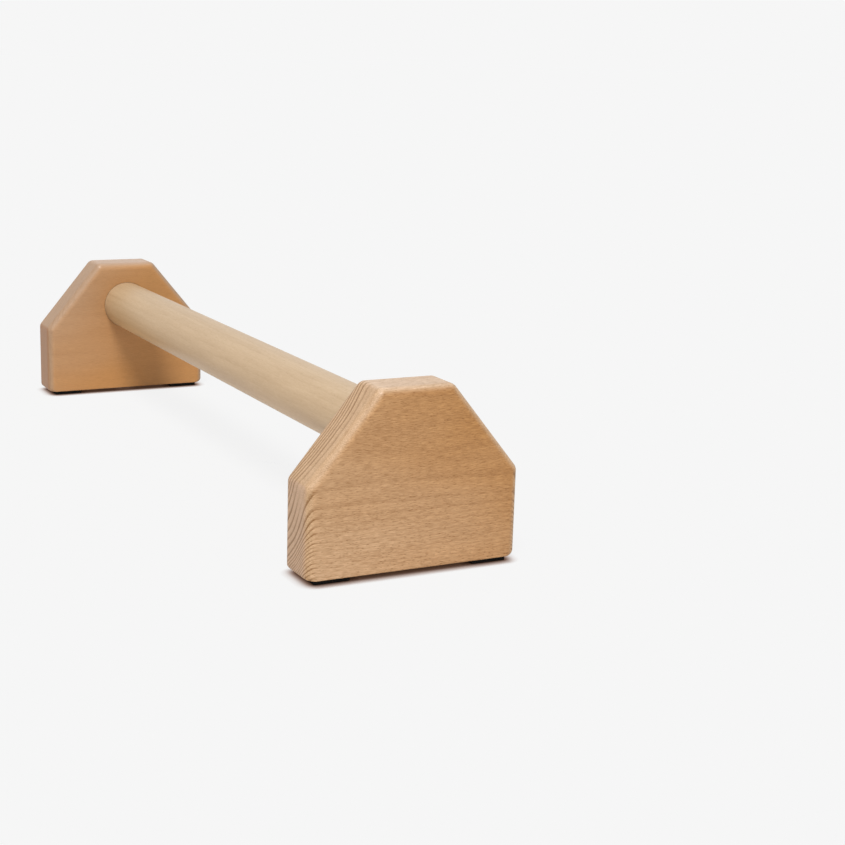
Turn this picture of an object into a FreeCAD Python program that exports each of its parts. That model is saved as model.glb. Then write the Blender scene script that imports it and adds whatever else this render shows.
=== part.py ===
import FreeCAD, Part
import math
import os

from FreeCAD import Vector

# Wooden parallette bar: a round grip bar, glued and screwed into two solid end blocks on rubber pads.
# Millimetres, +Z up. X runs along the grip bar and Y across the end blocks. The origin is on the floor,
# under the middle of the bar.

# Driving dimensions
overall_length = 600.0  # over the outer faces of the two end blocks

block_width = 142.5  # across the foot of the block
block_height = 112.5  # wood only, without the pads
block_thickness = 33.5
block_side_height = 56.5  # upright part of the sides, below the slopes
block_top_width = 50.0
edge_round_radius = 6.0  # round-over of both faces, along the sides, the slopes and the top
corner_extra_radius = 0.5  # how much rounder the corners of the outline are than the edges
foot_corner_radius = 5.5  # where the sides meet the underside
foot_edge_radius = 0.8  # where the faces meet the underside, which has no round-over

bar_diameter = 40.0
bar_axis_below_top = 37.3  # from the top of the block
bar_end_chamfer = 2.0  # lead-in that helps the bar into its sockets

socket_floor = 10.0  # wood left between the socket and the outer face
socket_end_gap = 0.5  # room for glue between the bar's end and the socket floor
glue_thickness = 0.15  # glue film all round the bar

pad_length = 23.5  # along the width of the block
pad_width = 28.0  # along the thickness of the block
pad_thickness = 2.8
pad_setback = 0.7  # from the end of the flat underside to the pad
tape_thickness = 0.2  # adhesive film between pad and wood

screw_diameter = 5.0  # over the thread
screw_shank_diameter = 3.6
screw_shank_length = 30.0
screw_head_diameter = 9.6
screw_head_sink = 1.0  # head below the underside of the wood
screw_bite = 24.8  # length of screw inside the bar
screw_tip_length = 6.0
screw_hole_clearance = 0.25  # round the screw, where it passes through the block
recess_span = 5.0  # cross recess in the head, at its mouth
recess_width = 1.2
recess_bottom_span = 2.0
recess_bottom_width = 0.5
recess_depth = 2.4

# Sizes that follow
base_height = pad_thickness + tape_thickness  # underside of the wood above the floor
outer_face_x = overall_length / 2
inner_face_x = outer_face_x - block_thickness
outline_corner_radius = edge_round_radius + corner_extra_radius
trim_margin = 2 * outline_corner_radius  # by which shapes that trim the block run past it

bar_radius = bar_diameter / 2
bar_axis_above_base = block_height - bar_axis_below_top  # from the underside of the wood
bar_axis_z = base_height + bar_axis_above_base
socket_radius = bar_radius + glue_thickness
socket_depth = block_thickness - socket_floor
bar_end_x = inner_face_x + socket_depth - socket_end_gap

pad_centre_x = outer_face_x - block_thickness / 2
pad_centre_y = block_width / 2 - foot_corner_radius - pad_setback - pad_length / 2

screw_x = (inner_face_x + bar_end_x) / 2  # halfway along the glued end of the bar
screw_head_z = base_height + screw_head_sink
screw_tip_z = bar_axis_z - bar_radius + screw_bite
screw_head_radius = screw_head_diameter / 2
screw_hole_radius = screw_diameter / 2 + screw_hole_clearance

# Which end of the bar, and which long side of it
ENDS = {"left": -1, "right": 1}
SIDES = {"front": -1, "rear": 1}

X_AXIS = Vector(1, 0, 0)
Y_AXIS = Vector(0, 1, 0)
Z_AXIS = Vector(0, 0, 1)
ORIGIN = Vector(0, 0, 0)
QUARTER_TURN = 90
HALF_TURN = 180
FULL_TURN = 360


def rounded_face(corners, radius):
    """Flat face through the corners, with each corner turned into an arc of that radius."""
    arcs = []
    for i, corner in enumerate(corners):
        to_last = (corners[i - 1] - corner).normalize()
        to_next = (corners[(i + 1) % len(corners)] - corner).normalize()
        half_angle = to_last.getAngle(to_next) / 2
        tangent_length = radius / math.tan(half_angle)
        to_centre = (to_last + to_next).normalize()
        middle = corner + to_centre * (radius / math.sin(half_angle) - radius)
        arcs.append(Part.Arc(corner + to_last * tangent_length, middle, corner + to_next * tangent_length))
    edges = []
    for last, arc in zip([arcs[-1]] + arcs[:-1], arcs):
        edges.append(Part.LineSegment(last.EndPoint, arc.StartPoint).toShape())
        edges.append(arc.toShape())
    return Part.Face(Part.Wire(edges))


def at_end(shape, end):
    """The shape made for the right end, turned round to the left end where that is asked for."""
    placed = shape.copy()
    if ENDS[end] < 0:
        placed.rotate(ORIGIN, Z_AXIS, HALF_TURN)
    return placed


def house_outline():
    """House-shaped outline of the board, in the plane of its inner face, left too long at the foot."""
    half_foot = block_width / 2
    half_top = block_top_width / 2
    right_half = [
        (half_foot, base_height - trim_margin),
        (half_foot, base_height + block_side_height),
        (half_top, base_height + block_height),
    ]
    left_half = [(-y, z) for y, z in reversed(right_half)]
    return [Vector(inner_face_x, y, z) for y, z in right_half + left_half]


def foot_trim():
    """Space that the board is trimmed to: flat below, with rounded foot corners and softened foot edges."""
    half_foot = block_width / 2
    top = base_height + block_height + trim_margin
    seen_from_end = [
        Vector(inner_face_x, half_foot, base_height),
        Vector(inner_face_x, half_foot, top),
        Vector(inner_face_x, -half_foot, top),
        Vector(inner_face_x, -half_foot, base_height),
    ]
    seen_from_side = [
        Vector(inner_face_x, -half_foot, base_height),
        Vector(inner_face_x, -half_foot, top),
        Vector(outer_face_x, -half_foot, top),
        Vector(outer_face_x, -half_foot, base_height),
    ]
    across = rounded_face(seen_from_end, foot_corner_radius).extrude(X_AXIS * block_thickness)
    along = rounded_face(seen_from_side, foot_edge_radius).extrude(Y_AXIS * block_width)
    return across.common(along)


def socket_space():
    """Blind round socket for the bar, from the inner face of the right block."""
    start = Vector(inner_face_x, 0, bar_axis_z)
    return Part.makeCylinder(socket_radius, socket_depth, start, X_AXIS)


def screw_hole():
    """Countersunk clearance hole from the underside of the right block up into the socket."""
    mouth_radius = screw_head_radius + screw_head_sink
    cone_height = mouth_radius - screw_hole_radius  # a right-angled countersink
    start = Vector(screw_x, 0, base_height)
    countersink = Part.makeCone(mouth_radius, screw_hole_radius, cone_height, start, Z_AXIS)
    drilling = Part.makeCylinder(screw_hole_radius, bar_axis_above_base, start, Z_AXIS)
    return countersink.fuse(drilling)


def end_block():
    """Right end block: the outline cut from a board, rounded over, trimmed, socketed and drilled."""
    board = rounded_face(house_outline(), outline_corner_radius).extrude(X_AXIS * block_thickness)
    rims = [edge for edge in board.Edges if edge.BoundBox.XLength < edge_round_radius / 2]
    softened = board.makeFillet(edge_round_radius, rims)
    return softened.common(foot_trim()).cut(socket_space()).cut(screw_hole())


def recess_wing(turn):
    """One slot of the driver recess, narrowing to its bottom, turned about the screw by that angle."""
    rims = []
    for length, width, depth in [
        (recess_span, recess_width, 0.0),
        (recess_bottom_span, recess_bottom_width, recess_depth),
    ]:
        corner = Vector(screw_x - length / 2, -width / 2, screw_head_z + depth)
        rims.append(Part.makePlane(length, width, corner).OuterWire)
    wing = Part.makeLoft(rims, True, True)
    wing.rotate(Vector(screw_x, 0, 0), Z_AXIS, turn)
    return wing


def lock_screw():
    """Right countersunk wood screw, head down, with its thread as a plain round stem."""
    shank_radius = screw_shank_diameter / 2
    thread_radius = screw_diameter / 2
    neck_z = screw_head_z + screw_head_radius - shank_radius  # a right-angled head
    thread_z = screw_head_z + screw_shank_length
    half_section = [
        (0, screw_head_z),
        (screw_head_radius, screw_head_z),
        (shank_radius, neck_z),
        (shank_radius, thread_z),
        (thread_radius, thread_z + thread_radius - shank_radius),
        (thread_radius, screw_tip_z - screw_tip_length),
        (0, screw_tip_z),
    ]
    points = [Vector(screw_x + radius, 0, z) for radius, z in half_section]
    section = Part.Face(Part.makePolygon(points + points[:1]))
    turned = section.revolve(Vector(screw_x, 0, 0), Z_AXIS, FULL_TURN)
    return turned.cut(recess_wing(0)).cut(recess_wing(QUARTER_TURN))


def grip_bar(screws):
    """Round bar from socket to socket, with lead-in chamfers and the holes that the screws make."""
    length = 2 * bar_end_x
    bar = Part.makeCylinder(bar_radius, length, Vector(-bar_end_x, 0, bar_axis_z), X_AXIS)
    rims = [edge for edge in bar.Edges if edge.BoundBox.XLength < bar_end_chamfer / 2]
    bar = bar.makeChamfer(bar_end_chamfer, rims)
    for screw in screws:
        bar = bar.cut(screw)
    return bar


def glue_line(bar, screw):
    """Glue that fills the right socket round the end of the bar."""
    return socket_space().cut(bar).cut(screw)


def pad_layer(end, side, bottom, thickness):
    """Square-cut layer under one corner of the object, from the height of its bottom."""
    corner_x = ENDS[end] * pad_centre_x - pad_width / 2
    corner_y = SIDES[side] * pad_centre_y - pad_length / 2
    return Part.makeBox(pad_width, pad_length, thickness, Vector(corner_x, corner_y, bottom))


def all_parts():
    """Every separate piece of the object by name."""
    block = end_block()
    screw = lock_screw()
    bar = grip_bar([at_end(screw, end) for end in ENDS])
    glue = glue_line(bar, screw)
    parts = {"grip_bar": bar}
    for end in ENDS:
        parts[f"{end}_end_block"] = at_end(block, end)
        parts[f"{end}_lock_screw"] = at_end(screw, end)
        parts[f"{end}_glue_line"] = at_end(glue, end)
        for side in SIDES:
            parts[f"{end}_{side}_pad"] = pad_layer(end, side, 0.0, pad_thickness)
            parts[f"{end}_{side}_pad_tape"] = pad_layer(end, side, pad_thickness, tape_thickness)
    return parts


def main():
    os.makedirs("parts", exist_ok=True)
    for name, shape in all_parts().items():
        if len(shape.Solids) != 1 or not shape.isValid():
            raise ValueError(f"{name} is not one valid solid")
        shape.Solids[0].exportStep(f"parts/{name}.step")
        print(f"{name}: {shape.Volume / 1000:.2f} cm3")


main()
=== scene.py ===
# %% [markdown]
# # A wooden parallette bar
#
# A parallette is a low bar for handstands and push-ups. This one is a round beech bar between two
# solid beech end blocks that stand on rubber pads. The construction comes ready made, as a fixed
# frame at real size, in metres. What is left to do here is the looks: smooth surfaces, wood with its
# grain running the right way through every piece, light, floor and camera.

# %% Load the frame
import math

import bmesh
import bpy
import numpy as np
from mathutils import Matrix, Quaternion, Vector


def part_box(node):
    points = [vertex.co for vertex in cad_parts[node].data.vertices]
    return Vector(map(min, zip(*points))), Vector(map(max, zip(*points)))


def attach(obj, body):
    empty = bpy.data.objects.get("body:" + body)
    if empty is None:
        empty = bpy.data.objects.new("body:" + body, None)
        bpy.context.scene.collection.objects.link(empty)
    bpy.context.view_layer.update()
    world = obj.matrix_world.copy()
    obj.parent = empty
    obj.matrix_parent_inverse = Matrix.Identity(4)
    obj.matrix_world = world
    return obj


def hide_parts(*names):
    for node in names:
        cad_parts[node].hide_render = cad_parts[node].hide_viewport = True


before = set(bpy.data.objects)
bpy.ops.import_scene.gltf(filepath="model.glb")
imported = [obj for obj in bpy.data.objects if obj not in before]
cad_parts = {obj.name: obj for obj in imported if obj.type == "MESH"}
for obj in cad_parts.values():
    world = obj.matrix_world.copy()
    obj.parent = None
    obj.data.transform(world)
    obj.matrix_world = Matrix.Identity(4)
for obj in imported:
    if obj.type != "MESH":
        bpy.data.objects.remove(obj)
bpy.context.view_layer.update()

MM = 0.001

# %% [markdown]
# ## The camera
#
# The camera comes first, because every later choice is judged through it. Its place, turn and lens
# were worked out from the straight edges of the blocks and the bar in the photograph. A camera can
# be aimed with a Track To constraint, but a slight roll has to be kept here, so it is turned by two
# quaternions: one that looks along the line of sight, and one that rolls about it.

# %% Camera
CAMERA_PLACE = Vector((1.12629, -0.43626, 0.30941))
CAMERA_HEADING = 0.4881  # radians from -X towards +Y
CAMERA_DIP = 0.2266  # radians below the horizon
CAMERA_ROLL = 0.0312  # radians about the line of sight
CAMERA_LENS = 69.01  # millimetres
SENSOR_WIDTH = 36.0  # millimetres
CLIP_END = 100.0  # metres, past the far corners of the floor

line_of_sight = Vector((
    -math.cos(CAMERA_HEADING) * math.cos(CAMERA_DIP),
    math.sin(CAMERA_HEADING) * math.cos(CAMERA_DIP),
    -math.sin(CAMERA_DIP),
))
camera = bpy.data.objects.new("camera", bpy.data.cameras.new("camera"))
bpy.context.scene.collection.objects.link(camera)
camera.location = CAMERA_PLACE
camera.rotation_mode = "QUATERNION"
camera.rotation_quaternion = line_of_sight.to_track_quat("-Z", "Y") @ Quaternion((0, 0, 1), CAMERA_ROLL)
camera.data.sensor_width = SENSOR_WIDTH
camera.data.lens = CAMERA_LENS
camera.data.clip_end = CLIP_END
bpy.context.scene.camera = camera
bpy.context.scene.view_settings.view_transform = "Standard"
print("camera looks along", tuple(round(c, 3) for c in line_of_sight))

# %% [markdown]
# ## From grids to meshes
#
# Every new piece below is a grid of points: rows across columns, worked out as whole arrays. Two
# rows next to each other make a strip of four-sided faces. Where the columns go all the way round,
# the last one joins the first. A pole is a row whose points all fall on one spot. Merging points
# that coincide closes the poles and welds grids that share an edge.

# %% Mesh helpers
WELD_DISTANCE = 1e-6  # metres
SHARP_ANGLE = math.radians(32)  # an edge that turns by more than this stays crisp


def grid_faces(rows, columns):
    """Corner numbers of the faces of a grid closed round its columns, as (rows - 1) x columns x 4."""
    number = np.arange(rows * columns).reshape(rows, columns)
    nearer, further = number[:-1], number[1:]
    corners = [nearer, further, np.roll(further, -1, axis=1), np.roll(nearer, -1, axis=1)]
    return np.stack(corners, axis=-1)


def piece_from_grids(name, grids):
    """One welded, smooth, outward-facing mesh object from (points, faces) pairs."""
    starts = np.cumsum([0] + [len(points.reshape(-1, 3)) for points, _ in grids])
    points = np.concatenate([points.reshape(-1, 3) for points, _ in grids])
    faces = np.concatenate([faces.reshape(-1, 4) + start for (_, faces), start in zip(grids, starts)])
    mesh = bpy.data.meshes.new(name)
    mesh.from_pydata(points.tolist(), [], faces.tolist())
    weld = bmesh.new()
    weld.from_mesh(mesh)
    bmesh.ops.remove_doubles(weld, verts=weld.verts, dist=WELD_DISTANCE)
    bmesh.ops.recalc_face_normals(weld, faces=weld.faces)
    weld.to_mesh(mesh)
    weld.free()
    mesh.shade_smooth()
    mesh.set_sharp_from_angle(angle=SHARP_ANGLE)
    piece = bpy.data.objects.new(name, mesh)
    bpy.context.scene.collection.objects.link(piece)
    return piece


def stand_in(piece, node):
    """Lets a piece stand for a node of the frame, on the frame's only body."""
    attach(piece, "root")
    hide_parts(node)
    print(piece.name, "stands for", node, "with", len(piece.data.polygons), "faces")


def arc(steps):
    """Shares of a quarter turn from 0 to 1, as sine and 1 - cosine: the two legs of a round-over."""
    angle = np.linspace(0, math.pi / 2, steps + 1)
    return np.sin(angle), 1 - np.cos(angle)


print("faces in a grid of 3 rows and 4 columns:", grid_faces(3, 4)[..., 0].size)

# %% [markdown]
# ## Rounded outlines
#
# The end blocks and the pads are flat boards with a rounded outline and rounded edges. A Bevel modifier
# on a plain board would do nearly that, but it bunches up where a corner is rounded both ways. Here
# every point of the outline carries its own normal: along a straight edge the point moves and the
# normal stays, and round a corner both turn. Each ring of the board is then outline - depth x normal,
# and a round-over only lets the depth grow along a quarter circle. All rings have the same points, so
# the corners stay clean.

# %% Outline helpers
CORNER_STEPS = 8


def carried_outline(corners, radii, shares):
    """Points and outward normals round a polygon whose corners run anticlockwise.

    A corner's arc has its middle at the corner moved in by the radius from both its edges. Its normal
    turns from one edge's normal to the next. On an edge, points run from arc to arc by shares.
    """
    corners = np.asarray(corners, float)
    radii = np.asarray(radii, float)[:, None]
    edges = np.roll(corners, -1, axis=0) - corners
    normals = np.stack([edges[:, 1], -edges[:, 0]], axis=1) / np.linalg.norm(edges, axis=1)[:, None]
    before = np.roll(normals, 1, axis=0)
    cosine = np.sum(before * normals, axis=1)[:, None]
    middles = corners - radii * (before + normals) / (1 + cosine)
    start = np.arctan2(before[:, 1], before[:, 0])[:, None]
    angle = start + np.arccos(cosine) * np.linspace(0, 1, CORNER_STEPS + 1)
    turning = np.stack([np.cos(angle), np.sin(angle)], axis=-1)
    arcs = middles[:, None] + radii[:, None] * turning
    share = np.asarray(shares)[None, :, None]
    straights = arcs[:, -1:] * (1 - share) + np.roll(arcs[:, :1], -1, axis=0) * share
    steady = np.broadcast_to(normals[:, None], straights.shape)
    points = np.concatenate([arcs, straights], axis=1).reshape(-1, 2)
    carried = np.concatenate([turning, steady], axis=1).reshape(-1, 2)
    return points, carried


def ring_rows(points, pull, depths, xs):
    """Rows of points outline - depth x pull, each row at its own x."""
    flat = points[None] - depths[:, None, None] * pull[None]
    across = np.broadcast_to(xs[:, None, None], flat.shape[:2] + (1,))
    return np.concatenate([across, flat], axis=2)


print("each corner of an outline turns in", CORNER_STEPS, "steps")

# %% [markdown]
# ## The end blocks
#
# Each block is a piece of beech board sawn to a house shape, with a blind round socket for the bar in
# its inner face and a countersunk screw hole in its underside. A router has rounded both faces along
# the sides, the slopes and the top, but the foot is flat with nearly square edges. The grid starts at
# the middle of the socket floor, goes out along the socket wall to the inner face, over the first
# round-over, across the board's edge, over the second round-over, and ends at a pole in the middle of
# the outer face. Along the foot the rings only move sideways, which keeps it flat. A square patch of
# faces is left out of the underside, and a second grid leads from its rim to the round hole.

# %% Block sizes
SHOULDER_HEIGHT = 56.5 * MM  # upright part of the sides, below the slopes
TOP_WIDTH = 50 * MM
EDGE_ROUND = 6 * MM  # round-over of both faces
CORNER_ROUND = 6.5 * MM  # the outline's corners above the foot
FOOT_CORNER = 3.5 * MM  # where the sides meet the underside
FOOT_EDGE = 0.8 * MM  # where the faces meet the underside
RIM_EASE = 0.25 * MM  # softened mouth of the socket
HOLD = 0.4 * MM  # extra rings beside a round-over, which keep the flats flat in smooth shading
SCREW_HOLE_RADIUS = 2.75 * MM
COUNTERSINK_RADIUS = 5.8 * MM
HOLE_STOP = 2 * MM  # from the hidden end of the screw hole to the socket

block_low, block_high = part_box("right_end_block")
socket_low, socket_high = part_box("right_glue_line")
screw_low, screw_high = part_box("right_lock_screw")
bar_low, bar_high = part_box("grip_bar")
bar_height = (bar_low.z + bar_high.z) / 2
socket_radius = (socket_high.y - socket_low.y) / 2
screw_x = (screw_low.x + screw_high.x) / 2
print("block", tuple(block_high - block_low), "socket radius", socket_radius)

# %% Steps of the block's grid
ROUND_STEPS = 10  # over each round-over
PATCH_ROW = 7  # step of the inner round-over at which the patch begins
PATCH_STEPS = 8  # along the patch
BESIDE_STEPS = 4  # along the foot, from a corner to the patch
NEAR_STEPS = 5  # across the board's edge, from the inner round-over to the end of the patch
FAR_STEPS = 3  # and on to the outer round-over
INNER_STEPS = 5  # over the flat of the inner face
OUTER_STEPS = 7  # over the flat of the outer face
SHEET_STEPS = 4  # from the rim of the patch to the countersink

rise, drop = arc(ROUND_STEPS)
patch = screw_x - block_low.x - EDGE_ROUND * drop[PATCH_ROW]  # half its side
patch_ys = np.linspace(-patch, patch, PATCH_STEPS + 1)
print("patch of", round(2 * patch / MM, 2), "mm round the screw hole")


# %% Screw hole and outline
def hole_grid(xs, ys):
    """Grid from the square between xs and ys to the hole: flat sheet, countersink cone, wall, blind end."""
    square = np.concatenate([
        np.stack([xs[:-1], np.full(len(xs) - 1, ys[0])], axis=1),
        np.stack([np.full(len(ys) - 1, xs[-1]), ys[:-1]], axis=1),
        np.stack([xs[:0:-1], np.full(len(xs) - 1, ys[-1])], axis=1),
        np.stack([np.full(len(ys) - 1, xs[0]), ys[:0:-1]], axis=1)]) - [screw_x, 0]
    circle = square / np.linalg.norm(square, axis=1)[:, None]
    share = np.linspace(0, 1, SHEET_STEPS + 1)[:, None, None]
    sheet = square * (1 - share) + COUNTERSINK_RADIUS * circle * share
    cone_top = block_low.z + COUNTERSINK_RADIUS - SCREW_HOLE_RADIUS
    wall_top = bar_height - socket_radius - HOLE_STOP
    wall = np.array([SCREW_HOLE_RADIUS, SCREW_HOLE_RADIUS, 0])[:, None, None] * circle
    heights = np.concatenate([np.full(len(sheet), block_low.z), [cone_top, wall_top, wall_top]])
    flat = np.concatenate([sheet, wall]) + [screw_x, 0]
    z = np.broadcast_to(heights[:, None, None], flat.shape[:2] + (1,))
    points = np.concatenate([flat, z], axis=2)
    return points, grid_faces(*points.shape[:2])


def block_outline():
    """Points (y, z) round the block, with the normal and the pull of each.

    The pull is the way that a point moves as its ring gets deeper. It is the normal, but along the foot
    it points sideways only, and shrinks evenly from 1 at a corner to 0 at the patch.
    """
    half_foot = block_high.y
    half_top = TOP_WIDTH / 2
    shoulder = block_low.z + SHOULDER_HEIGHT
    corners = [(-half_foot, block_low.z), (half_foot, block_low.z), (half_foot, shoulder),
               (half_top, block_high.z), (-half_top, block_high.z), (-half_foot, shoulder)]
    radii = [FOOT_CORNER] * 2 + [CORNER_ROUND] * 4
    flat_half = half_foot - FOOT_CORNER
    beside = np.linspace(-flat_half, -patch, BESIDE_STEPS + 1)[1:-1]
    foot_ys = np.concatenate([beside, patch_ys, -beside[::-1]])
    points, carried = carried_outline(corners, radii, (foot_ys + flat_half) / (2 * flat_half))
    y = points[:, 0]
    sideways = np.sign(y) * np.clip((np.abs(y) - patch) / (flat_half - patch), 0, 1)
    along_foot = np.stack([sideways, np.zeros(len(y))], axis=1)
    return points, carried, np.where(carried[:, 1:] > 0, carried, along_foot)


print("block outline of", len(block_outline()[0]), "points")


# %% Block surface
def board_rings(points, carried, pull):
    """Rings round the board from its inner face to its outer face, and the x of each.

    Over a round-over, depth and x follow a quarter circle. Where the outline faces down, the height
    follows one too, with the small radius of the foot's edge.
    """
    patch_end = screw_x + patch
    near = np.linspace(block_low.x + EDGE_ROUND, patch_end, NEAR_STEPS + 1)[1:]
    far = np.linspace(patch_end, block_high.x - EDGE_ROUND, FAR_STEPS + 1)[1:-1]
    level = np.zeros(len(near) + len(far))
    depths = np.concatenate([[EDGE_ROUND + HOLD], EDGE_ROUND * (1 - rise)])
    offsets = np.concatenate([[0], EDGE_ROUND * drop])
    lifts = FOOT_EDGE - np.sqrt(FOOT_EDGE ** 2 - np.clip(FOOT_EDGE - offsets, 0, None) ** 2)
    lifts[0] += HOLD
    xs = np.concatenate([block_low.x + offsets, near, far, block_high.x - offsets[::-1]])
    rings = ring_rows(points, pull, np.concatenate([depths, level, depths[::-1]]), xs)
    lifts = np.concatenate([lifts, level, lifts[::-1]])
    rings[:, :, 2] += lifts[:, None] * np.clip(-carried[:, 1], 0, 1)
    return rings, xs


def block_grids():
    """Grids of the right block: rings from the socket floor to the outer face, and the screw hole."""
    points, carried, pull = block_outline()
    board, xs = board_rings(points, carried, pull)

    from_axis = points - [0, bar_height]
    round_it = from_axis / np.linalg.norm(from_axis, axis=1)[:, None]
    radii = np.array([0, socket_radius, socket_radius, socket_radius + RIM_EASE])
    places = np.array([socket_high.x, socket_high.x, block_low.x + RIM_EASE, block_low.x])
    socket = ring_rows(np.broadcast_to([0, bar_height], points.shape), round_it, -radii, places)
    share = np.linspace(0, 1, INNER_STEPS + 1)[1:-1, None, None]
    inner_face = socket[-1] * (1 - share) + board[0] * share
    outer_middle = np.array([block_high.x, 0, (block_low.z + block_high.z) / 2])
    outer_share = np.linspace(0, 1, OUTER_STEPS + 1)[1:, None, None]
    outer_face = board[-1] * (1 - outer_share) + outer_middle * outer_share
    grid = np.concatenate([socket, inner_face, board, outer_face])

    faces = grid_faces(*grid.shape[:2])
    middles = grid.reshape(-1, 3)[faces].mean(axis=2)
    off_hole = np.abs(middles - [screw_x, 0, block_low.z])
    in_patch = (off_hole < [patch, patch, WELD_DISTANCE]).all(axis=2)
    in_span = np.abs(xs - screw_x) < patch + WELD_DISTANCE
    return [(grid, faces[~in_patch]), hole_grid(xs[in_span], patch_ys)]


def half_turned(grids):
    """The same grids turned half round the Z axis, for the other end of the object."""
    return [(points * [-1, -1, 1], faces) for points, faces in grids]


right_grids = block_grids()
blocks = {"right": piece_from_grids("right_block", right_grids),
          "left": piece_from_grids("left_block", half_turned(right_grids))}
for end, block in blocks.items():
    stand_in(block, f"{end}_end_block")

# %% [markdown]
# ## The grip bar
#
# The bar is a sanded round, 40 mm thick, with its ends hidden in the sockets. A cylinder primitive
# has flat sides and one long face per side. This one is a profile of (place along the bar, radius)
# carried round the axis, fine enough to look round from close by, with the lead-in chamfers that
# help the ends into their sockets.

# %% Bar surface
BAR_CHAMFER = 2 * MM
BAR_COLUMNS = 96
BAR_ROWS = 60  # between the chamfers

bar_radius = (bar_high.y - bar_low.y) / 2


def bar_grid():
    """Points (x, radius cos a, radius sin a): a profile turned about the bar's axis, with a pole at
    each end."""
    body = np.linspace(bar_low.x + BAR_CHAMFER, bar_high.x - BAR_CHAMFER, BAR_ROWS)
    xs = np.concatenate([[bar_low.x] * 2, body, [bar_high.x] * 2])
    end_radii = [0, bar_radius - BAR_CHAMFER]
    radii = np.concatenate([end_radii, np.full(BAR_ROWS, bar_radius), end_radii[::-1]])
    angle = np.linspace(0, 2 * math.pi, BAR_COLUMNS, endpoint=False)
    around = np.stack([np.cos(angle), np.sin(angle)], axis=1)
    axis = np.broadcast_to([0, bar_height], around.shape)
    points = ring_rows(axis, around, -radii, xs)
    return points, grid_faces(*points.shape[:2])


bar = piece_from_grids("grip_round", [bar_grid()])
stand_in(bar, "grip_bar")
print("bar radius", bar_radius)

# %% [markdown]
# ## The rubber pads
#
# Four thin pads of black rubber keep the bar from sliding and from marking the floor. They are cut
# from sheet, so their edges are crisp, but rubber never has a razor edge. The same carried outline
# makes them, lying flat: the ring rows are worked out as for a block, and then turned so that the
# thickness points up.

# %% Pads
PAD_CORNER = 0.8 * MM
PAD_EDGE = 0.35 * MM
PAD_ROUND_STEPS = 4
PAD_SIDE_SHARES = [0.25, 0.5, 0.75]  # places of the points along a side
PAD_FLAT_SHARES = [1, 0.5, 0.06]  # rings over a flat, from its middle at 1 to its rim at 0


def pad_grid(low, high):
    """A small rounded board between two corners of a box, closed by a pole in each flat side."""
    corners = [(low.x, low.y), (high.x, low.y), (high.x, high.y), (low.x, high.y)]
    outline, carried = carried_outline(corners, [PAD_CORNER] * 4, PAD_SIDE_SHARES)
    pad_rise, pad_drop = arc(PAD_ROUND_STEPS)
    depths = PAD_EDGE * np.concatenate([1 - pad_rise, 1 - pad_rise[::-1]])
    heights = np.concatenate([low.z + PAD_EDGE * pad_drop, high.z - PAD_EDGE * pad_drop[::-1]])
    rows = ring_rows(outline, carried, depths, heights)
    middle = rows.mean(axis=1, keepdims=True)
    share = np.array(PAD_FLAT_SHARES)[:, None, None]
    underside = rows[:1] * (1 - share) + middle[:1] * share
    topside = (rows[-1:] * (1 - share) + middle[-1:] * share)[::-1]
    points = np.concatenate([underside, rows, topside])[:, :, [1, 2, 0]]
    return points, grid_faces(*points.shape[:2])


ENDS = ("left", "right")
SIDES = ("front", "rear")
pads = []
for end in ENDS:
    for side in SIDES:
        node = f"{end}_{side}_pad"
        pad = piece_from_grids(f"{end}_{side}_rubber", [pad_grid(*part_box(node))])
        stand_in(pad, node)
        pads.append(pad)

# %% [markdown]
# ## The lock screws
#
# A countersunk wood screw comes up through the foot of each block and bites into the bar, so that the
# joint holds even where the glue lets go. A Screw modifier could sweep a thread, but its ends are hard
# to close. Here the screw is a turned profile again, whose radius also depends on the angle: the ridge
# of the thread climbs by one pitch in every turn, and fades in at the shank and out at the tip. On the
# head the columns crowd together, so that one runs along each edge of the cross recess, which keeps
# those edges straight.

# %% Screw sizes
SHANK_RADIUS = 1.8 * MM
SHANK_LENGTH = 30 * MM  # with the head
CORE_RADIUS = 1.65 * MM
THREAD_RADIUS = 2.5 * MM
THREAD_PITCH = 2.4 * MM
ROWS_PER_PITCH = 12
TIP_LENGTH = 6 * MM
RECESS_SPAN = 5 * MM
RECESS_WIDTH = 1.2 * MM
RECESS_DEPTH = 2.4 * MM
RECESS_END = 1.5 * MM  # length of the sloped wall at the end of a wing
RECESS_RINGS = 10
WINGS = 4
WING_COLUMNS = 16  # to each wing of the recess, with the land beside it

head_radius = (screw_high.x - screw_low.x) / 2
half_wing_turn = math.pi / WINGS  # from the middle of a wing to the middle of the land
wing_turn = np.repeat(np.arange(WINGS), WING_COLUMNS) * 2 * half_wing_turn
off_wing = np.tile(np.linspace(-1, 1, WING_COLUMNS, endpoint=False), WINGS)  # 0 in a wing's middle
in_wing = np.abs(off_wing) < 0.5
even_angle = wing_turn + off_wing * half_wing_turn
print("screw of", (screw_high.z - screw_low.z) / MM, "mm")


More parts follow.
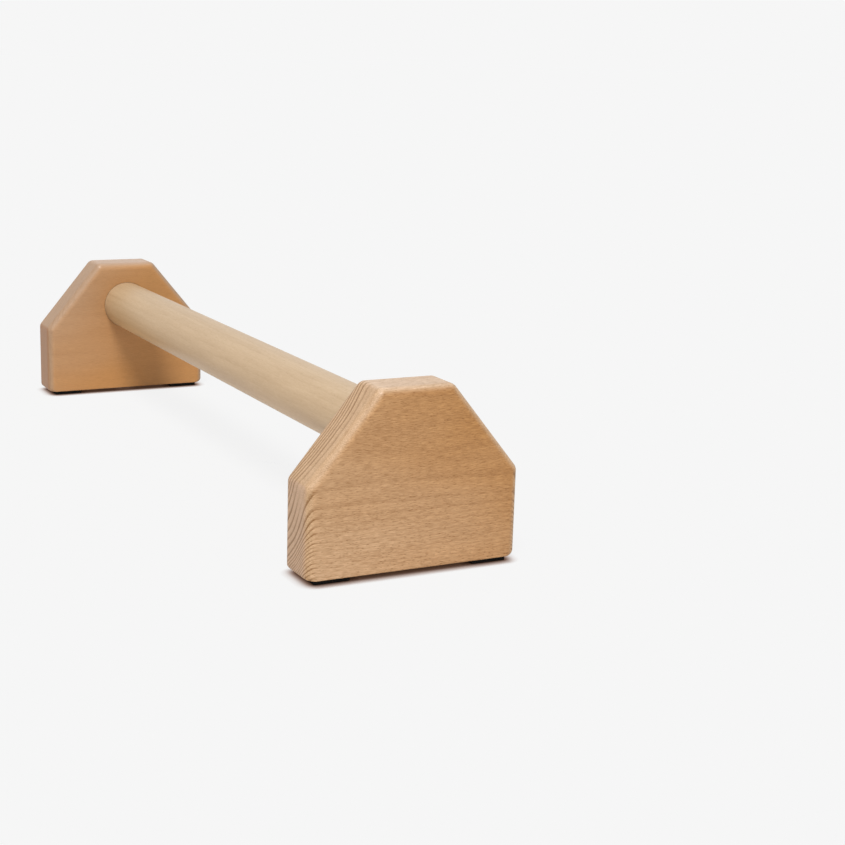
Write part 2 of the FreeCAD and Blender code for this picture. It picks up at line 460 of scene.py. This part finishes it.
# %% Screw surface
def head_rings():
    """Radius, angle and height of the head's rings.

    A wing's edge lies half its width from its middle line, at the angle arcsin(half width / radius). Half
    of a wing's columns are spread between its two edges, and the others over the land beside it. The
    wings meet inside the circle through the lands' corners.
    """
    corner = RECESS_WIDTH / 2 * math.sqrt(2)
    recess = np.linspace(corner, RECESS_SPAN / 2, RECESS_RINGS)
    radius = np.concatenate([[0, corner], recess, [head_radius]])[:, None]
    edge = np.arcsin(RECESS_WIDTH / 2 / recess)[:, None]
    inside = 2 * off_wing * edge
    beside = np.sign(off_wing) * (edge + (2 * np.abs(off_wing) - 1) * (half_wing_turn - edge))
    crowded = wing_turn + np.where(in_wing, inside, beside)
    angle = np.concatenate([crowded[[0, 0]], crowded, even_angle[None]])
    floor_depth = RECESS_DEPTH * np.clip((RECESS_SPAN / 2 - radius) / RECESS_END, 0, 1)
    sunk = np.broadcast_to(in_wing, angle.shape).copy()
    sunk[:2] = True
    return radius + 0 * angle, angle, screw_low.z + floor_depth * sunk


def screw_grid():
    """Points of the right screw, head down, as rings of (radius, angle, height) about its axis.

    On the thread, radius = core + ridge x (crest - core), where the ridge is the square of a raised
    cosine of (height / pitch) turns less the angle.
    """
    thread_start = screw_low.z + SHANK_LENGTH
    heights = np.arange(thread_start, screw_high.z, THREAD_PITCH / ROWS_PER_PITCH)[:, None]
    begun = np.clip((heights - thread_start) / THREAD_PITCH, 0, 1)
    left_over = np.clip((screw_high.z - heights) / TIP_LENGTH, 0, 1)
    ridge = (0.5 + 0.5 * np.cos(2 * math.pi * heights / THREAD_PITCH - even_angle)) ** 2
    core = SHANK_RADIUS + (CORE_RADIUS - SHANK_RADIUS) * begun
    thread = left_over * (core + begun * ridge * (THREAD_RADIUS - core))

    head, head_angle, head_z = head_rings()
    level = np.ones((1, len(even_angle)))
    neck_z = screw_low.z + head_radius - SHANK_RADIUS
    radius = np.concatenate([head, SHANK_RADIUS * level, thread, 0 * level])
    angle = np.concatenate([head_angle, even_angle + np.zeros((len(thread) + 2, 1))])
    z = np.concatenate([head_z, neck_z * level, heights * level, screw_high.z * level])
    points = np.stack([screw_x + radius * np.cos(angle), radius * np.sin(angle), z], axis=2)
    return points, grid_faces(*points.shape[:2])


screw_grids = [screw_grid()]
screws = {"right": piece_from_grids("right_screw", screw_grids),
          "left": piece_from_grids("left_screw", half_turned(screw_grids))}
for end, screw in screws.items():
    stand_in(screw, f"{end}_lock_screw")

# %% [markdown]
# ## Finishes as sums
#
# A procedural finish is a net of shader nodes, and long nets are hard to read. The small class below
# holds one output of a node and answers to + - * / and **, so that a pattern can be written as a
# formula. Every operator adds one Math node. All other nodes come from one method, which takes the
# node's type, its settings and what goes into its sockets.

# %% Shader class
class Shade:
    """One output of a shader node. Sums of shades add Math nodes to the same material."""

    def __init__(self, tree, socket=None):
        self.tree = tree
        self.socket = socket

    def node(self, kind, settings=(), inputs=(), output=0):
        """A new node with its settings, then its sockets' values or links. Gives one of its outputs."""
        made = self.tree.nodes.new(kind)
        for key, value in dict(settings).items():
            setattr(made, key, value)
        for key, value in dict(inputs).items():
            if isinstance(value, Shade):
                self.tree.links.new(value.socket, made.inputs[key])
            else:
                made.inputs[key].default_value = value
        return Shade(self.tree, made.outputs[output])

    def also(self, output):
        """Another output of the same node."""
        return Shade(self.tree, self.socket.node.outputs[output])

    def math(self, operation, *values):
        """A Math node on single numbers."""
        return self.node("ShaderNodeMath", {"operation": operation}, enumerate(values))

    def vector(self, operation, *values, output=0):
        """A Vector Math node on vectors or colours."""
        return self.node("ShaderNodeVectorMath", {"operation": operation}, enumerate(values), output)

    def __add__(self, other):
        return self.math("ADD", self, other)

    __radd__ = __add__

    def __sub__(self, other):
        return self.math("SUBTRACT", self, other)

    def __rsub__(self, other):
        return self.math("SUBTRACT", other, self)

    def __mul__(self, other):
        return self.math("MULTIPLY", self, other)

    __rmul__ = __mul__

    def __truediv__(self, other):
        return self.math("DIVIDE", self, other)

    def __rtruediv__(self, other):
        return self.math("DIVIDE", other, self)

    def __pow__(self, other):
        return self.math("POWER", self, other)

    def __rpow__(self, other):
        return self.math("POWER", other, self)

    def between(self, low, high):
        """A smooth step: 0 below low, 1 above high."""
        settings = {"interpolation_type": "SMOOTHSTEP"}
        return self.node("ShaderNodeMapRange", settings, {0: self, 1: low, 2: high})

    def larger(self, other):
        """The larger of two shades at each place."""
        return self.math("MAXIMUM", self, other)

    def mix(self, first, second):
        """Colour from first to second as this shade goes from 0 to 1.

        A Mix node has sockets for numbers, vectors and colours. Inputs 6 and 7 and output 2 are colours.
        """
        return self.node("ShaderNodeMix", {"data_type": "RGBA"}, {0: self, 6: first, 7: second}, 2)

    def reach(self, direction):
        """How far this vector reaches in a direction."""
        return self.vector("DOT_PRODUCT", self, direction, output="Value")

    def noise(self, detail=2.0, roughness=0.5):
        """Soft noise from about -0.5 to 0.5, with one bump to each unit of this vector."""
        inputs = {"Vector": self, "Scale": 1.0, "Detail": detail, "Roughness": roughness}
        return self.node("ShaderNodeTexNoise", {}, inputs) - 0.5


def new_finish(name):
    """A material with one Principled shader, as (material, start of its sums, the shader's node)."""
    material = bpy.data.materials.new(name)
    material.use_nodes = True
    shader = material.node_tree.nodes["Principled BSDF"]
    return material, Shade(material.node_tree), shader


def plug(shade, shader, socket):
    """Links a shade to one of a shader's sockets."""
    shade.tree.links.new(shade.socket, shader.inputs[socket])


def colour(red, green, blue):
    """An opaque colour in linear light."""
    return (red, green, blue, 1.0)


print("shader class ready")

# %% [markdown]
# ## The figure of beech
#
# Wood is a solid, so its figure is worked out in space and not painted on faces. A tree grows in
# rings round its pith. The distance from the pith axis gives the ring, so a face along the grain
# shows faint bands, an end shows the rings as dark lines, and the lines run on round every edge, as
# they do on a real block. Each year adds about the same area of wood, so the ring number follows the
# square of the radius. A run of poor years packs some rings together, and calm years leave only faint
# lines, perhaps on one side of the tree alone. Rays are thin ribbons that stand along the grain and
# run outwards from the pith. They show as short dark dashes on the flat of the board and as flecks on
# its edge.

# %% Figure of the wood
TO_MM = (1000.0, 1000.0, 1000.0)
ALONG = {"X": (1.0, 0.0, 0.0), "Y": (0.0, 1.0, 0.0)}
WAVER = 6.0  # millimetres that the rings wander
WAVER_CELL = (130.0, 45.0)  # millimetres along and across the grain in which they do so
LATE_WOOD = (0.48, 0.92)  # share of a year in which its wood turns dark
YEAR_END = (0.94, 1.0)  # and pale again
LEAST_LINE = 0.6  # strength of the faintest year's line
LINE_CHANCE = 0.45  # most that chance adds to it
CALM_FADE = 4.0  # millimetres on either side of the radius where calm years begin or end
CALM_TURN = 0.1  # radians on either side of the angle where they begin
CALM_LOSS = 0.8  # share of its strength that a line loses in calm years
RAY_ANGLE = 0.007  # radians round the pith from one ray to the next
RAY_DEPTH = 6.0  # millimetres outwards
RAY_LENGTH = 3.8  # millimetres along the grain
RAY_EDGE = (0.14, 0.28)  # distances in those units from a ray's middle at which it starts to fade and ends


class Timber:
    """Shades for the figure of a piece of wood, worked out from its place in the piece in millimetres."""

    def __init__(self, start, grain, pith):
        self.axis = ALONG[grain]
        metres = start.node("ShaderNodeTexCoord", output="Object")
        self.place = metres.vector("MULTIPLY", metres, TO_MM)
        self.facing = metres.also("Normal")
        wander_inputs = {"Vector": self.cells(*WAVER_CELL), "Scale": 1.0}
        wander = start.node("ShaderNodeTexNoise", {}, wander_inputs, "Color")
        bent = wander.vector("MULTIPLY_ADD", wander, [WAVER] * 3, self.place)
        across = [1 - share for share in self.axis]
        spoke = bent.vector("SUBTRACT", bent, [centre + WAVER / 2 for centre in pith])
        spoke = spoke.vector("MULTIPLY", spoke, across)
        self.radius = spoke.vector("LENGTH", spoke, output="Value")
        parts = spoke.node("ShaderNodeSeparateXYZ", {}, {0: spoke})
        side = parts.also("X" if grain == "Y" else "Y")
        self.angle = side.math("ARCTAN2", parts.also("Z"), side)

    def cells(self, along, across):
        """Place measured in cells of these lengths along and across the grain."""
        return self.place.vector("MULTIPLY", self.place, [s / along + (1 - s) / across for s in self.axis])

    def faces(self, direction, low, high):
        """From 0 to 1 as the surface turns to a direction or its opposite, by the cosine of the angle."""
        share = self.facing.reach(direction)
        return share.math("ABSOLUTE", share).between(low, high)

    def rings(self, ring_area, poor_years, calm_years):
        """Dark lines at the end of each year's growth, each as strong as its year.

        Ring number = radius squared / ring area, plus the extra rings of each run of poor years, given as
        (first radius, last radius, extra rings). Calm years, given as (first radius, last radius, angle),
        leave only faint lines on the side of the tree past that angle.
        """
        ring = self.radius * self.radius / ring_area
        for first, last, extra in poor_years:
            ring = ring + extra * self.radius.between(first, last)
        growth = ring.math("FRACT", ring)
        late = growth.between(*LATE_WOOD) - growth.between(*YEAR_END)
        year = ring.math("FLOOR", ring)
        chance = year.node("ShaderNodeTexWhiteNoise", {"noise_dimensions": "1D"}, {"W": year})
        first, last, side = calm_years
        begun = self.radius.between(first - CALM_FADE, first + CALM_FADE)
        ended = self.radius.between(last - CALM_FADE, last + CALM_FADE)
        calm = (begun - ended) * self.angle.between(side - CALM_TURN, side + CALM_TURN)
        return late * (LEAST_LINE + LINE_CHANCE * chance) * (1 - CALM_LOSS * calm)

    def rays(self):
        """1 inside a ray: ellipsoids scattered in (angle, radius, length) round the pith."""
        along = self.place.reach(self.axis)
        inputs = {0: self.angle / RAY_ANGLE, 1: self.radius / RAY_DEPTH, 2: along / RAY_LENGTH}
        spot = self.radius.node("ShaderNodeCombineXYZ", {}, inputs)
        distance = spot.node("ShaderNodeTexVoronoi", {}, {"Vector": spot, "Scale": 1.0})
        return 1 - distance.between(*RAY_EDGE)


print("rays of", RAY_DEPTH, "x", RAY_LENGTH, "mm")

# %% [markdown]
# ## The finish of beech
#
# Beech is not one colour. Across the face of a board it drifts from pale to red, and where the saw
# went through the fibres, at a slant or square across, it looks browner. A Color Ramp along the rings
# can't tell those cuts apart. So the finish first picks a tint by the place on the board and by how far
# the surface turns to the end of the grain, and then lets lines, fibres, streaks and rays darken it.
# Part of the tint is painted light. All faces but the board's two broad ones keep the pale tint, which
# on the top partly stands for sheen from the light above, and on the left block the rise to red paints
# a deeper, redder shade where the bar's shadow falls on its inner face.
# Lines are strongest on end grain. At one end of the right block oil has soaked a few millimetres into
# the wood, so that the lines stay plain for a bit on the long faces too.

# %% Beech finish
FIBRE_CELL = (6.0, 0.5)  # millimetres along and across the grain
STREAK_CELL = (60.0, 5.0)
CLOUD_CELL = (110.0, 40.0)
SLANTED_CUT = (0.1, 0.75)  # cosines between which a face along the grain turns into a slanted cut
SQUARE_CUT = (0.8, 0.97)  # and a slanted cut into a square one
# off the board's broad faces the tint stays pale, partly painted sheen on the top
BOARD_FACE = (0.45, 1.0)  # cosines between which the drift to red sets in on a board
SOAK_DEPTH = (2.0, 9.0)  # millimetres from the end of the wood between which soaked oil fades
SOAK_SHARE = 0.8  # how like end grain soaked wood is
LINE_SHADE = (0.155, 0.915)  # how much a line darkens plain wood, and how much more it darkens end grain
GAP_LIGHT = (0.035, 0.195)  # how much brighter wood is between lines, in the same two parts
END_RAY_LOSS = 0.6  # share of its strength that a ray loses on end grain
STREAK_GAIN = (0.8, 1.0, 1.3)  # darker wood is also redder
DARKEST = -0.6  # most that all of these may darken the wood
WOOD_ROUGHNESS = 0.40
FIBRE_ROUGHNESS = 0.25
END_ROUGHNESS = 0.08
LINE_RELIEF = 0.5  # depth of a line, where a fibre's is 1
RAY_RELIEF = 0.4
RELIEF_STRENGTH = 0.2
RELIEF_DEPTH = 0.2 * MM


def beech(name, grain, pith, growth, tints, drift_and_shade, strength, board=None, under_end=None):
    """Beech: pale to red, other on slanted and square cuts, darkened by lines, fibres, streaks and rays.

    The red share = start + rise x place + cloud share x clouds, from the three values of drift_and_shade.
    On the left block that rise paints a deeper, redder shade where the bar's shadow falls. With board, a
    direction, only faces that look that way or the opposite way turn red; the others keep the pale tint,
    which on the top partly stands for painted sheen.
    """
    material, start, shader = new_finish(name)
    timber = Timber(start, grain, pith)
    line = timber.rings(**growth)
    ray = timber.rays()
    end_grain = timber.faces(timber.axis, *SLANTED_CUT)
    square_cut = timber.faces(timber.axis, *SQUARE_CUT)
    fibre = timber.cells(*FIBRE_CELL).noise(detail=3.0, roughness=0.65)
    streak = timber.cells(*STREAK_CELL).noise()
    cloud = timber.cells(*CLOUD_CELL).noise(detail=1.0)

    plain = end_grain
    if under_end:
        plain = end_grain.larger(SOAK_SHARE * (1 - under_end(timber.place).between(*SOAK_DEPTH)))

    red_start, red_rise, cloud_share = drift_and_shade
    red = (red_start + timber.place.reach(red_rise) + cloud_share * cloud).between(0.0, 1.0)
    # Off the board's broad faces the tint stays pale: partly the wood, partly painted sheen on the top.
    if board:
        red = red * timber.faces(board, *BOARD_FACE)
    along_tint = red.mix(tints["pale"], tints["red"])
    cut_tint = square_cut.mix(tints["slanted"], tints["square"])
    tint = end_grain.mix(along_tint, cut_tint)

    gap_light = GAP_LIGHT[0] + GAP_LIGHT[1] * plain
    line_shade = LINE_SHADE[0] + LINE_SHADE[1] * plain
    shift = strength["line"] * (gap_light - line * line_shade)
    shift = shift - strength["fibre"] * fibre - strength["streak"] * streak
    shift = shift - strength["ray"] * ray * (1 - END_RAY_LOSS * end_grain)
    shift = shift.larger(DARKEST)
    gain = shift.vector("MULTIPLY_ADD", shift, STREAK_GAIN, (1.0, 1.0, 1.0))
    plug(tint.vector("MULTIPLY", tint, gain), shader, "Base Color")
    plug(WOOD_ROUGHNESS + FIBRE_ROUGHNESS * fibre + END_ROUGHNESS * end_grain, shader, "Roughness")
    height = 0 - fibre - LINE_RELIEF * line - RAY_RELIEF * ray
    relief = {"Strength": RELIEF_STRENGTH, "Distance": RELIEF_DEPTH, "Height": height}
    plug(height.node("ShaderNodeBump", {}, relief), shader, "Normal")
    return material


def under_block_end(place):
    """Length of wood along the grain from a place in a block to the block's sloped or upright end at -Y."""
    parts = place.node("ShaderNodeSeparateXYZ", {}, {0: place})
    half_width = block_high.y / MM
    shoulder = (block_low.z + SHOULDER_HEIGHT) / MM
    slope_run = (block_high.y - TOP_WIDTH / 2) / (block_high.z - block_low.z - SHOULDER_HEIGHT)
    above_shoulder = (parts.also("Z") - shoulder).larger(0.0)
    return half_width - slope_run * above_shoulder + parts.also("Y")


print("relief of", RELIEF_DEPTH / MM, "mm")

# %% Three pieces of beech
ALL_ROUND = -4.0  # an angle that every side of the tree is past

right_beech = beech(
    "beech_right", grain="Y", pith=(215.0, 0.0, 84.0),
    growth={"ring_area": 765.0, "poor_years": [(50.0, 72.0, 3.5), (92.0, 118.0, 7.0)],
            "calm_years": (74.0, 88.0, -0.5)},
    tints={"pale": colour(0.556, 0.377, 0.237), "red": colour(0.379, 0.164, 0.029),
           "slanted": colour(0.445, 0.280, 0.155), "square": colour(0.436, 0.279, 0.174)},
    drift_and_shade=(0.434, (0.0, 0.00214, 0.00231), 0.3),
    strength={"line": 1.0, "fibre": 1.68, "streak": 0.40, "ray": 0.40},
    board=ALONG["X"], under_end=under_block_end)
left_beech = beech(
    "beech_left", grain="Y", pith=(-380.0, 0.0, 20.0),
    growth={"ring_area": 900.0, "poor_years": [(120.0, 128.0, 1.0)],
            "calm_years": (134.0, 150.0, ALL_ROUND)},
    tints={"pale": colour(0.456, 0.302, 0.200), "red": colour(0.465, 0.226, 0.073),
           "slanted": colour(0.366, 0.231, 0.140), "square": colour(0.312, 0.156, 0.072)},
    # the red rises towards +Y and the foot: painted shade, deeper and redder where the bar's shadow falls
    # on the inner face
    drift_and_shade=(1.05, (0.0, 0.0060, -0.0034), 0.6),
    strength={"line": 0.12, "fibre": 0.48, "streak": 0.20, "ray": 0.08},
    board=ALONG["X"])
bar_beech = beech(
    "beech_bar", grain="X", pith=(0.0, 50.0, 130.0),
    growth={"ring_area": 700.0, "poor_years": [(60.0, 70.0, 1.0)],
            "calm_years": (30.0, 50.0, ALL_ROUND)},
    tints={"pale": colour(0.53, 0.378, 0.228), "red": colour(0.482, 0.338, 0.199),
           "slanted": colour(0.46, 0.33, 0.22), "square": colour(0.46, 0.33, 0.22)},
    drift_and_shade=(0.60, (-0.0020, 0.0, 0.0), 0.6),
    strength={"line": 0.40, "fibre": 0.336, "streak": 0.28, "ray": 0.10})
blocks["right"].data.materials.append(right_beech)
blocks["left"].data.materials.append(left_beech)
bar.data.materials.append(bar_beech)
print("beech finishes:", right_beech.name, left_beech.name, bar_beech.name)

# %% [markdown]
# ## Rubber, film, glue and zinc
#
# The small pieces show little, but they are what the object stands on and is held by. Rubber is
# nearly black and dull, with a fine mould texture. The film under the wood is thin and milky. Glue
# dries to a yellowish line round the bar. The screws are plated with zinc. One function makes all
# four, because each is one tone that goes over into another in soft specks.

# %% Small finishes
SPECK_SPREAD = 0.2  # noise on either side of 0 over which one colour becomes the other
SPECK_ROUGHNESS = 0.15
SPECK_BUMP = 0.3


def speckled(name, first, second, cell, roughness, metallic, shine, relief):
    """A finish from a first colour to a second in soft specks, with cell and relief in millimetres."""
    material, start, shader = new_finish(name)
    place = start.node("ShaderNodeTexCoord", output="Object")
    speck = place.vector("MULTIPLY", place, [1 / (cell * MM)] * 3).noise(detail=4.0, roughness=0.6)
    plug(speck.between(-SPECK_SPREAD, SPECK_SPREAD).mix(first, second), shader, "Base Color")
    plug(roughness + SPECK_ROUGHNESS * speck, shader, "Roughness")
    bump = {"Strength": SPECK_BUMP, "Distance": relief * MM, "Height": speck}
    plug(speck.node("ShaderNodeBump", {}, bump), shader, "Normal")
    shader.inputs["Metallic"].default_value = metallic
    shader.inputs["Specular IOR Level"].default_value = shine
    return material


rubber = speckled(
    "black_rubber", colour(0.006, 0.006, 0.006), colour(0.014, 0.014, 0.015),
    cell=0.5, roughness=0.85, metallic=0.0, shine=0.1, relief=0.1)
film = speckled(
    "milky_film", colour(0.50, 0.47, 0.40), colour(0.58, 0.55, 0.48),
    cell=2.0, roughness=0.45, metallic=0.0, shine=0.5, relief=0.02)
glue = speckled(
    "dried_glue", colour(0.36, 0.23, 0.11), colour(0.46, 0.31, 0.16),
    cell=1.5, roughness=0.4, metallic=0.0, shine=0.5, relief=0.05)
zinc = speckled(
    "zinc_plate", colour(0.52, 0.52, 0.50), colour(0.64, 0.63, 0.58),
    cell=1.2, roughness=0.35, metallic=1.0, shine=0.5, relief=0.02)


def dress(node, material):
    """Gives a node of the frame its finish, in place of the plain one that it came with."""
    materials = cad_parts[node].data.materials
    materials.clear()
    materials.append(material)


for pad in pads:
    pad.data.materials.append(rubber)
for end in ENDS:
    dress(f"{end}_glue_line", glue)
    screws[end].data.materials.append(zinc)
    for side in SIDES:
        dress(f"{end}_{side}_pad_tape", film)
print("small finishes:", rubber.name, film.name, glue.name, zinc.name)

# %% [markdown]
# ## Floor and light
#
# The object stands on a pale, even floor with hardly a shadow, lit from high up behind the camera, a
# little to its left. The light comes from one large soft lamp far away and a pale sky. The floor shows
# the camera an even pale tone of its own and only a small part of the light that falls on it, so
# shadows are faint. Close to the object its glow is dimmed by how much of the sky is hidden there, so
# that the gaps under the wood stay dark. Past the ends of the blocks most of that is taken back, as
# light comes in from the side there. On the object itself the floor throws back light as any pale
# floor does.

# %% Light levels
PALE = 0.922  # tone of floor and sky in the picture, where 1 is white
SKY_LIGHT = 0.45  # brightness of a white surface that only the sky lights
LAMP_LEVEL = 0.85  # brightness of a white surface that faces the lamp
LAMP_DIRECTION = Vector((0.42, -0.27, 0.866)).normalized()
LAMP_ANGLE = math.radians(20)  # how wide the lamp looks, which softens its shadows
FLOOR_SIZE = 60.0  # metres
FLOOR_SHADOW_SHARE = 0.05  # how much the camera sees of the real light and shadow on the floor
FLOOR_BOUNCE = (0.84, 0.75, 0.61)  # slightly warm, as light is that has also met the wood
UNDER_WOOD = (0.65, 0.26, 0.11)  # tint of what little light comes out from under the blocks
CONTACT_REACH = 6.8 * MM  # how near the wood has to be to hide sky
CONTACT_SAMPLES = 16
CONTACT_DEPTH = 1.5  # power of the open share of the sky that the floor's glow follows
END_LIGHT = 0.75  # share of that dimming which light from the side takes back past the blocks' ends
END_REACH = (64 * MM, 74 * MM)  # from the bar's axis, where that light begins and where it is full

floor_light = FLOOR_SHADOW_SHARE * (LAMP_LEVEL * LAMP_DIRECTION.z + SKY_LIGHT)
print("floor: glow", round(PALE - floor_light, 3), "and light", round(floor_light, 3))


# %% Floor
def seen_directly(start):
    """1 for rays that show the background to the camera, straight or in a mirror or glass."""
    path = start.node("ShaderNodeLightPath", output="Is Camera Ray")
    return path.larger(path.also("Is Glossy Ray")).larger(path.also("Is Transmission Ray"))


def pale_floor():
    """A floor that glows evenly for the camera, with a share of real light and shadow on top."""
    material, start, plain_shader = new_finish("pale_floor")
    start.tree.nodes.remove(plain_shader)
    contact = {"Distance": CONTACT_REACH}
    open_sky = start.node("ShaderNodeAmbientOcclusion", {"samples": CONTACT_SAMPLES}, contact, "AO")
    place = start.node("ShaderNodeTexCoord", output="Object")
    beside = place.reach(ALONG["Y"])
    at_end = beside.math("ABSOLUTE", beside).between(*END_REACH)
    open_sky = 1 - (1 - open_sky ** CONTACT_DEPTH) * (1 - END_LIGHT * at_end)
    tint = open_sky.mix(colour(*UNDER_WOOD), colour(1, 1, 1))
    dimmed = open_sky.mix(colour(0, 0, 0), tint)
    glow = start.node("ShaderNodeEmission", {}, {"Color": dimmed, "Strength": PALE - floor_light})
    lit = start.node("ShaderNodeBsdfDiffuse", {}, {"Color": colour(*[FLOOR_SHADOW_SHARE] * 3)})
    shown = start.node("ShaderNodeAddShader", {}, {0: glow, 1: lit})
    bounce = start.node("ShaderNodeBsdfDiffuse", {}, {"Color": colour(*FLOOR_BOUNCE)})
    mixed = start.node("ShaderNodeMixShader", {}, {0: seen_directly(start), 1: bounce, 2: shown})
    plug(mixed, start.tree.nodes["Material Output"], "Surface")
    return material


half = FLOOR_SIZE / 2
floor_corners = [(-half, -half, 0), (half, -half, 0), (half, half, 0), (-half, half, 0)]
floor_mesh = bpy.data.meshes.new("floor")
floor_mesh.from_pydata(floor_corners, [], [(0, 1, 2, 3)])
floor = bpy.data.objects.new("floor", floor_mesh)
bpy.context.scene.collection.objects.link(floor)
floor.data.materials.append(pale_floor())
print("floor of", FLOOR_SIZE, "m")

# %% Sky and lamp
world = bpy.data.worlds.new("pale_sky")
bpy.context.scene.world = world
world.use_nodes = True
sky = Shade(world.node_tree)
backdrop = world.node_tree.nodes["Background"]
backdrop.inputs["Color"].default_value = colour(1, 1, 1)
plug(SKY_LIGHT + (PALE - SKY_LIGHT) * seen_directly(sky), backdrop, "Strength")

lamp = bpy.data.objects.new("soft_lamp", bpy.data.lights.new("soft_lamp", "SUN"))
bpy.context.scene.collection.objects.link(lamp)
lamp.data.energy = LAMP_LEVEL * math.pi
lamp.data.angle = LAMP_ANGLE
lamp.location = LAMP_DIRECTION
lamp.rotation_mode = "QUATERNION"
lamp.rotation_quaternion = LAMP_DIRECTION.to_track_quat("Z", "Y")
print("lamp direction", tuple(round(c, 2) for c in LAMP_DIRECTION))
